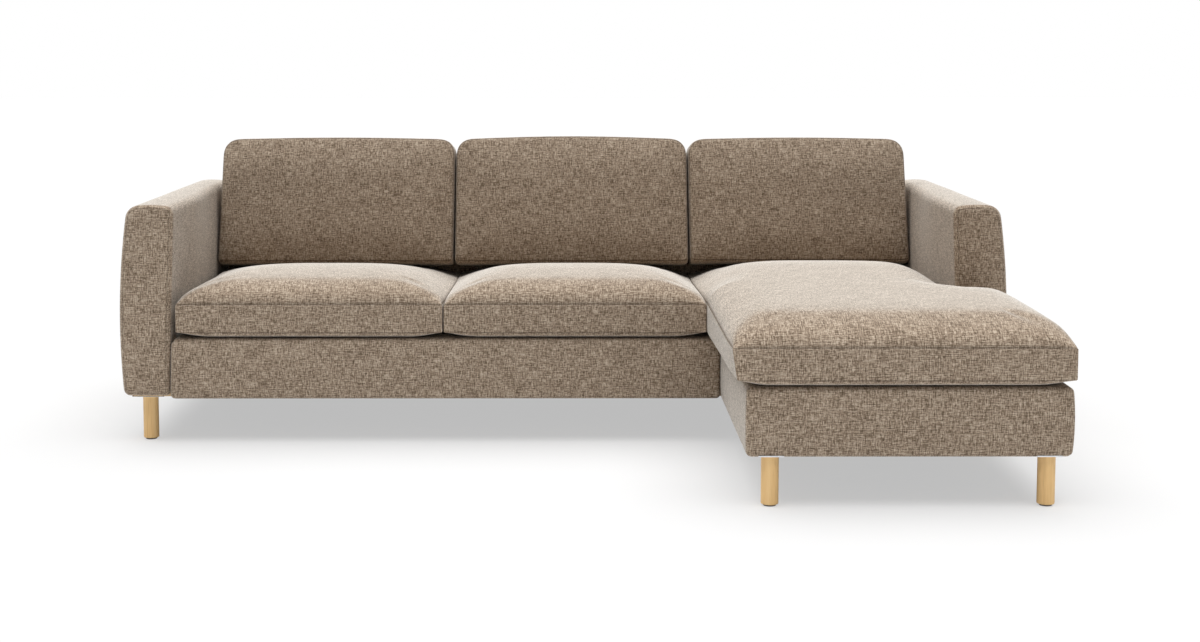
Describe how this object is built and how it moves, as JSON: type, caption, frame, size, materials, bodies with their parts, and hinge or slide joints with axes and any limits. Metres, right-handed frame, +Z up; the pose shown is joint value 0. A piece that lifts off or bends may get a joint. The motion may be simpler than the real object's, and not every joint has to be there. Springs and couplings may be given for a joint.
{
  "type": "sectional sofa with chaise",
  "caption": "Low sectional sofa with padded box arms, loose seat and back cushions, a chaise on the right and straight round wooden legs.",
  "frame": {"origin": "on the floor, at the middle of the sofa's bounding box", "axes": "+X to the sitter's left, which is the viewer's right, +Y to the rear, +Z up; the front faces -Y"},
  "size_m": [2.43, 1.63, 0.8],
  "materials": {
    "woven_fabric": "heathered taupe slub weave",
    "leg_oak": "light oiled oak",
    "frame_pine": "planed softwood",
    "hardboard": "pressed fibre board",
    "foam": "cut polyurethane foam",
    "deck_felt": "grey needled felt",
    "dust_cloth": "black non-woven cloth",
    "webbing": "woven elastic webbing",
    "spring_steel": "drawn spring wire",
    "zinc_steel": "zinc plated steel",
    "glide_plastic": "moulded glide"
  },
  "bodies": {
    "frame": {"arm_bolts": "zinc_steel", "chaise_back_cover": "woven_fabric", "chaise_back_posts": "frame_pine", "chaise_back_rails": "frame_pine", "chaise_back_webbing": "webbing", "chaise_base_cover": "woven_fabric", "chaise_cross_rail": "frame_pine", "chaise_dust_cloth": "dust_cloth", "chaise_front_rail": "frame_pine", "chaise_left_rail": "frame_pine", "chaise_rear_rail": "frame_pine", "chaise_right_front_rail": "frame_pine", "chaise_right_rear_rail": "frame_pine", "chaise_seat_deck": "deck_felt", "chaise_seat_springs": "spring_steel", "corner_blocks": "frame_pine", "left_arm_boards": "hardboard", "left_arm_cover": "woven_fabric", "left_arm_posts": "frame_pine", "left_arm_rails": "frame_pine", "leg_chaise_left": "leg_oak", "leg_chaise_right": "leg_oak", "leg_front_left": "leg_oak", "leg_glides": "glide_plastic", "leg_plates": "zinc_steel", "leg_rear_left": "leg_oak", "leg_rear_middle": "leg_oak", "leg_rear_right": "leg_oak", "leg_studs": "zinc_steel", "right_arm_boards": "hardboard", "right_arm_cover": "woven_fabric", "right_arm_posts": "frame_pine", "right_arm_rails": "frame_pine", "sofa_back_cover": "woven_fabric", "sofa_back_posts": "frame_pine", "sofa_back_rails": "frame_pine", "sofa_back_webbing": "webbing", "sofa_base_cover": "woven_fabric", "sofa_centre_rail": "frame_pine", "sofa_dust_cloth": "dust_cloth", "sofa_front_rail": "frame_pine", "sofa_left_rail": "frame_pine", "sofa_rear_rail": "frame_pine", "sofa_right_rail": "frame_pine", "sofa_seat_deck": "deck_felt", "sofa_seat_springs": "spring_steel", "spring_clips": "zinc_steel", "unit_bolts": "zinc_steel"},
    "seat_cushion_left": {"seat_cushion_left_cover": "woven_fabric", "seat_cushion_left_core": "foam"},
    "seat_cushion_middle": {"seat_cushion_middle_cover": "woven_fabric", "seat_cushion_middle_core": "foam"},
    "chaise_cushion": {"chaise_cushion_cover": "woven_fabric", "chaise_cushion_core": "foam"},
    "back_cushion_left": {"back_cushion_left_cover": "woven_fabric", "back_cushion_left_core": "foam"},
    "back_cushion_middle": {"back_cushion_middle_cover": "woven_fabric", "back_cushion_middle_core": "foam"},
    "back_cushion_right": {"back_cushion_right_cover": "woven_fabric", "back_cushion_right_core": "foam"}
  },
  "joints": [
    {"name": "seat_cushion_left_pull", "type": "slide", "parent": "frame", "child": "seat_cushion_left", "axis": [0, -1, 0], "range_m": [0, 0.85]},
    {"name": "seat_cushion_middle_pull", "type": "slide", "parent": "frame", "child": "seat_cushion_middle", "axis": [0, -1, 0], "range_m": [0, 0.85]},
    {"name": "chaise_cushion_pull", "type": "slide", "parent": "frame", "child": "chaise_cushion", "axis": [0, -1, 0], "range_m": [0, 1.55]},
    {"name": "back_cushion_left_lift", "type": "slide", "parent": "frame", "child": "back_cushion_left", "axis": [0, 0, 1], "range_m": [0, 0.4]},
    {"name": "back_cushion_middle_lift", "type": "slide", "parent": "frame", "child": "back_cushion_middle", "axis": [0, 0, 1], "range_m": [0, 0.4]},
    {"name": "back_cushion_right_lift", "type": "slide", "parent": "frame", "child": "back_cushion_right", "axis": [0, 0, 1], "range_m": [0, 0.4]}
  ]
}
